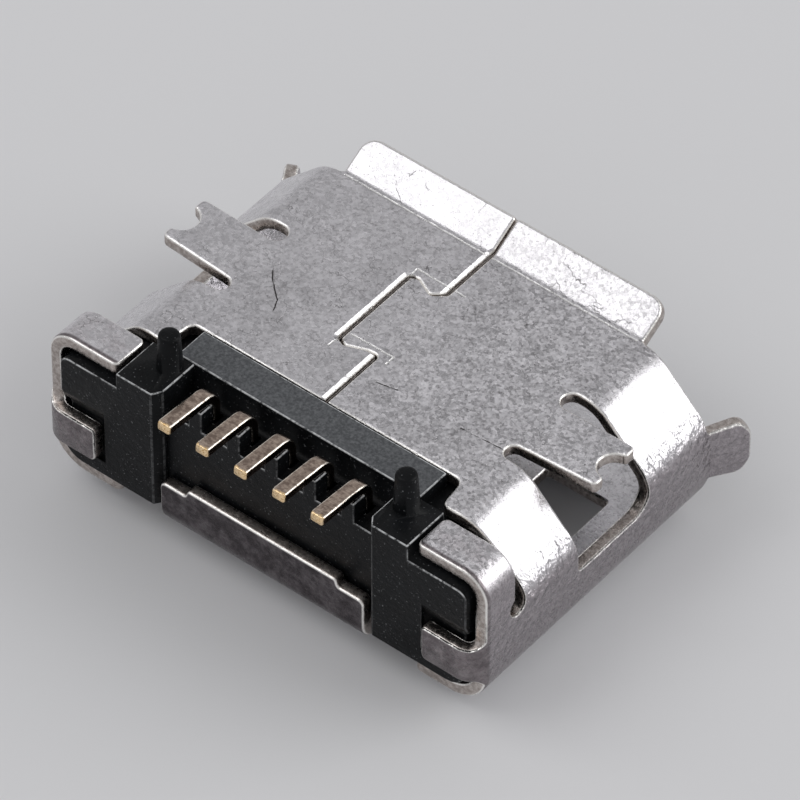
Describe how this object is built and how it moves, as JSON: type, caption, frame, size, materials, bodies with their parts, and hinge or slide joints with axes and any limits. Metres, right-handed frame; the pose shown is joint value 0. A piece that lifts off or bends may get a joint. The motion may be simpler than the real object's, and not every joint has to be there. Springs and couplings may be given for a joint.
{
  "type": "micro usb socket",
  "caption": "Surface-mount micro USB socket: folded sheet shell with flared mouth lips and solder tabs, moulded housing with locating pegs, flat contact tails.",
  "frame": {"origin": "centre of the bounding box's bottom: under the middle of the cover plate, at the height of the cover-side lip's tip", "axes": "+Z towards the circuit board that the socket is soldered to, -Y out of the mouth, +X along the width, towards the side on which the seam's tongue lies"},
  "size_m": [0.008, 0.006, 0.0033],
  "materials": {
    "shell": "plated sheet, satin",
    "housing": "moulded, matte",
    "contact": "gold plated, satin"
  },
  "bodies": {
    "root": {"shell": "shell", "housing": "housing", "contact_1": "contact", "contact_2": "contact", "contact_3": "contact", "contact_4": "contact", "contact_5": "contact"}
  },
  "joints": []
}
